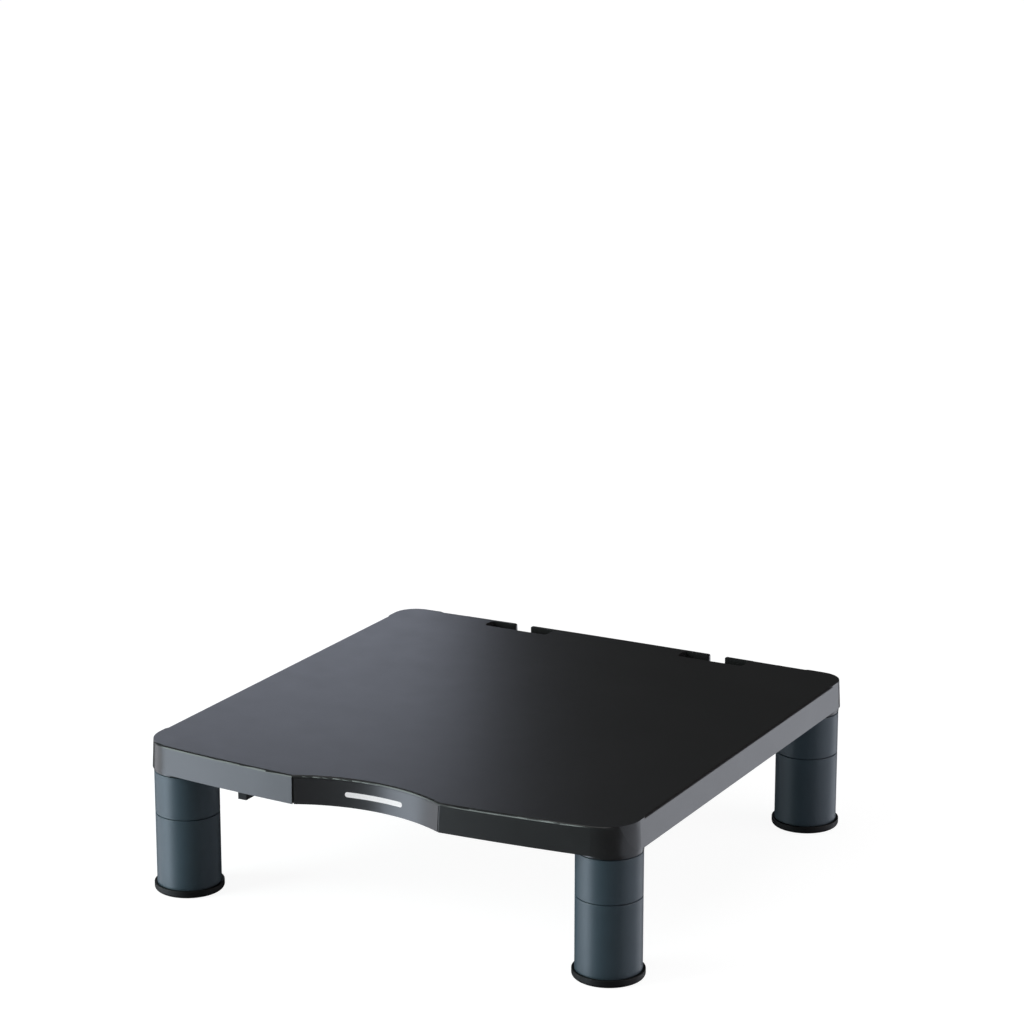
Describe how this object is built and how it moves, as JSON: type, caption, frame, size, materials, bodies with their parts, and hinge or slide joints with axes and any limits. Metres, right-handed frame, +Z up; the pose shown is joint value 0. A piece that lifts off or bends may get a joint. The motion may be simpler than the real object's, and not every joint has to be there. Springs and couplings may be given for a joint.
{
  "type": "monitor riser",
  "caption": "Low square monitor riser: a flat moulded deck with a curved front recess and rear cable slots, on round legs made of stacked column sections with rubber foot caps.",
  "frame": {"origin": "on the desk, under the middle of the deck's plan box", "axes": "+X to the right seen from the front, +Y to the back, +Z up; the front recess faces -Y"},
  "size_m": [0.3429, 0.3462, 0.101],
  "materials": {
    "deck_plastic": "fine-textured matte, near black",
    "fascia_plastic": "smooth satin, dark graphite",
    "hook_plastic": "satin black",
    "column_plastic": "fine-textured satin, slate blue-grey",
    "foot_rubber": "matte black"
  },
  "bodies": {
    "deck": {"deck": "deck_plastic", "front_fascia": "fascia_plastic", "cable_hook": "hook_plastic"},
    "upper_front_left": {"upper_section_front_left": "column_plastic"},
    "lower_front_left": {"lower_section_front_left": "column_plastic"},
    "foot_front_left": {"foot_cap_front_left": "foot_rubber"},
    "upper_front_right": {"upper_section_front_right": "column_plastic"},
    "lower_front_right": {"lower_section_front_right": "column_plastic"},
    "foot_front_right": {"foot_cap_front_right": "foot_rubber"},
    "upper_back_left": {"upper_section_back_left": "column_plastic"},
    "lower_back_left": {"lower_section_back_left": "column_plastic"},
    "foot_back_left": {"foot_cap_back_left": "foot_rubber"},
    "upper_back_right": {"upper_section_back_right": "column_plastic"},
    "lower_back_right": {"lower_section_back_right": "column_plastic"},
    "foot_back_right": {"foot_cap_back_right": "foot_rubber"}
  },
  "joints": [
    {"name": "upper_pull_front_left", "type": "slide", "parent": "deck", "child": "upper_front_left", "axis": [0, 0, -1], "range_m": [0, 0.018]},
    {"name": "lower_pull_front_left", "type": "slide", "parent": "upper_front_left", "child": "lower_front_left", "axis": [0, 0, -1], "range_m": [0, 0.018]},
    {"name": "foot_pull_front_left", "type": "slide", "parent": "lower_front_left", "child": "foot_front_left", "axis": [0, 0, -1], "range_m": [0, 0.016]},
    {"name": "upper_pull_front_right", "type": "slide", "parent": "deck", "child": "upper_front_right", "axis": [0, 0, -1], "range_m": [0, 0.018]},
    {"name": "lower_pull_front_right", "type": "slide", "parent": "upper_front_right", "child": "lower_front_right", "axis": [0, 0, -1], "range_m": [0, 0.018]},
    {"name": "foot_pull_front_right", "type": "slide", "parent": "lower_front_right", "child": "foot_front_right", "axis": [0, 0, -1], "range_m": [0, 0.016]},
    {"name": "upper_pull_back_left", "type": "slide", "parent": "deck", "child": "upper_back_left", "axis": [0, 0, -1], "range_m": [0, 0.018]},
    {"name": "lower_pull_back_left", "type": "slide", "parent": "upper_back_left", "child": "lower_back_left", "axis": [0, 0, -1], "range_m": [0, 0.018]},
    {"name": "foot_pull_back_left", "type": "slide", "parent": "lower_back_left", "child": "foot_back_left", "axis": [0, 0, -1], "range_m": [0, 0.016]},
    {"name": "upper_pull_back_right", "type": "slide", "parent": "deck", "child": "upper_back_right", "axis": [0, 0, -1], "range_m": [0, 0.018]},
    {"name": "lower_pull_back_right", "type": "slide", "parent": "upper_back_right", "child": "lower_back_right", "axis": [0, 0, -1], "range_m": [0, 0.018]},
    {"name": "foot_pull_back_right", "type": "slide", "parent": "lower_back_right", "child": "foot_back_right", "axis": [0, 0, -1], "range_m": [0, 0.016]}
  ]
}
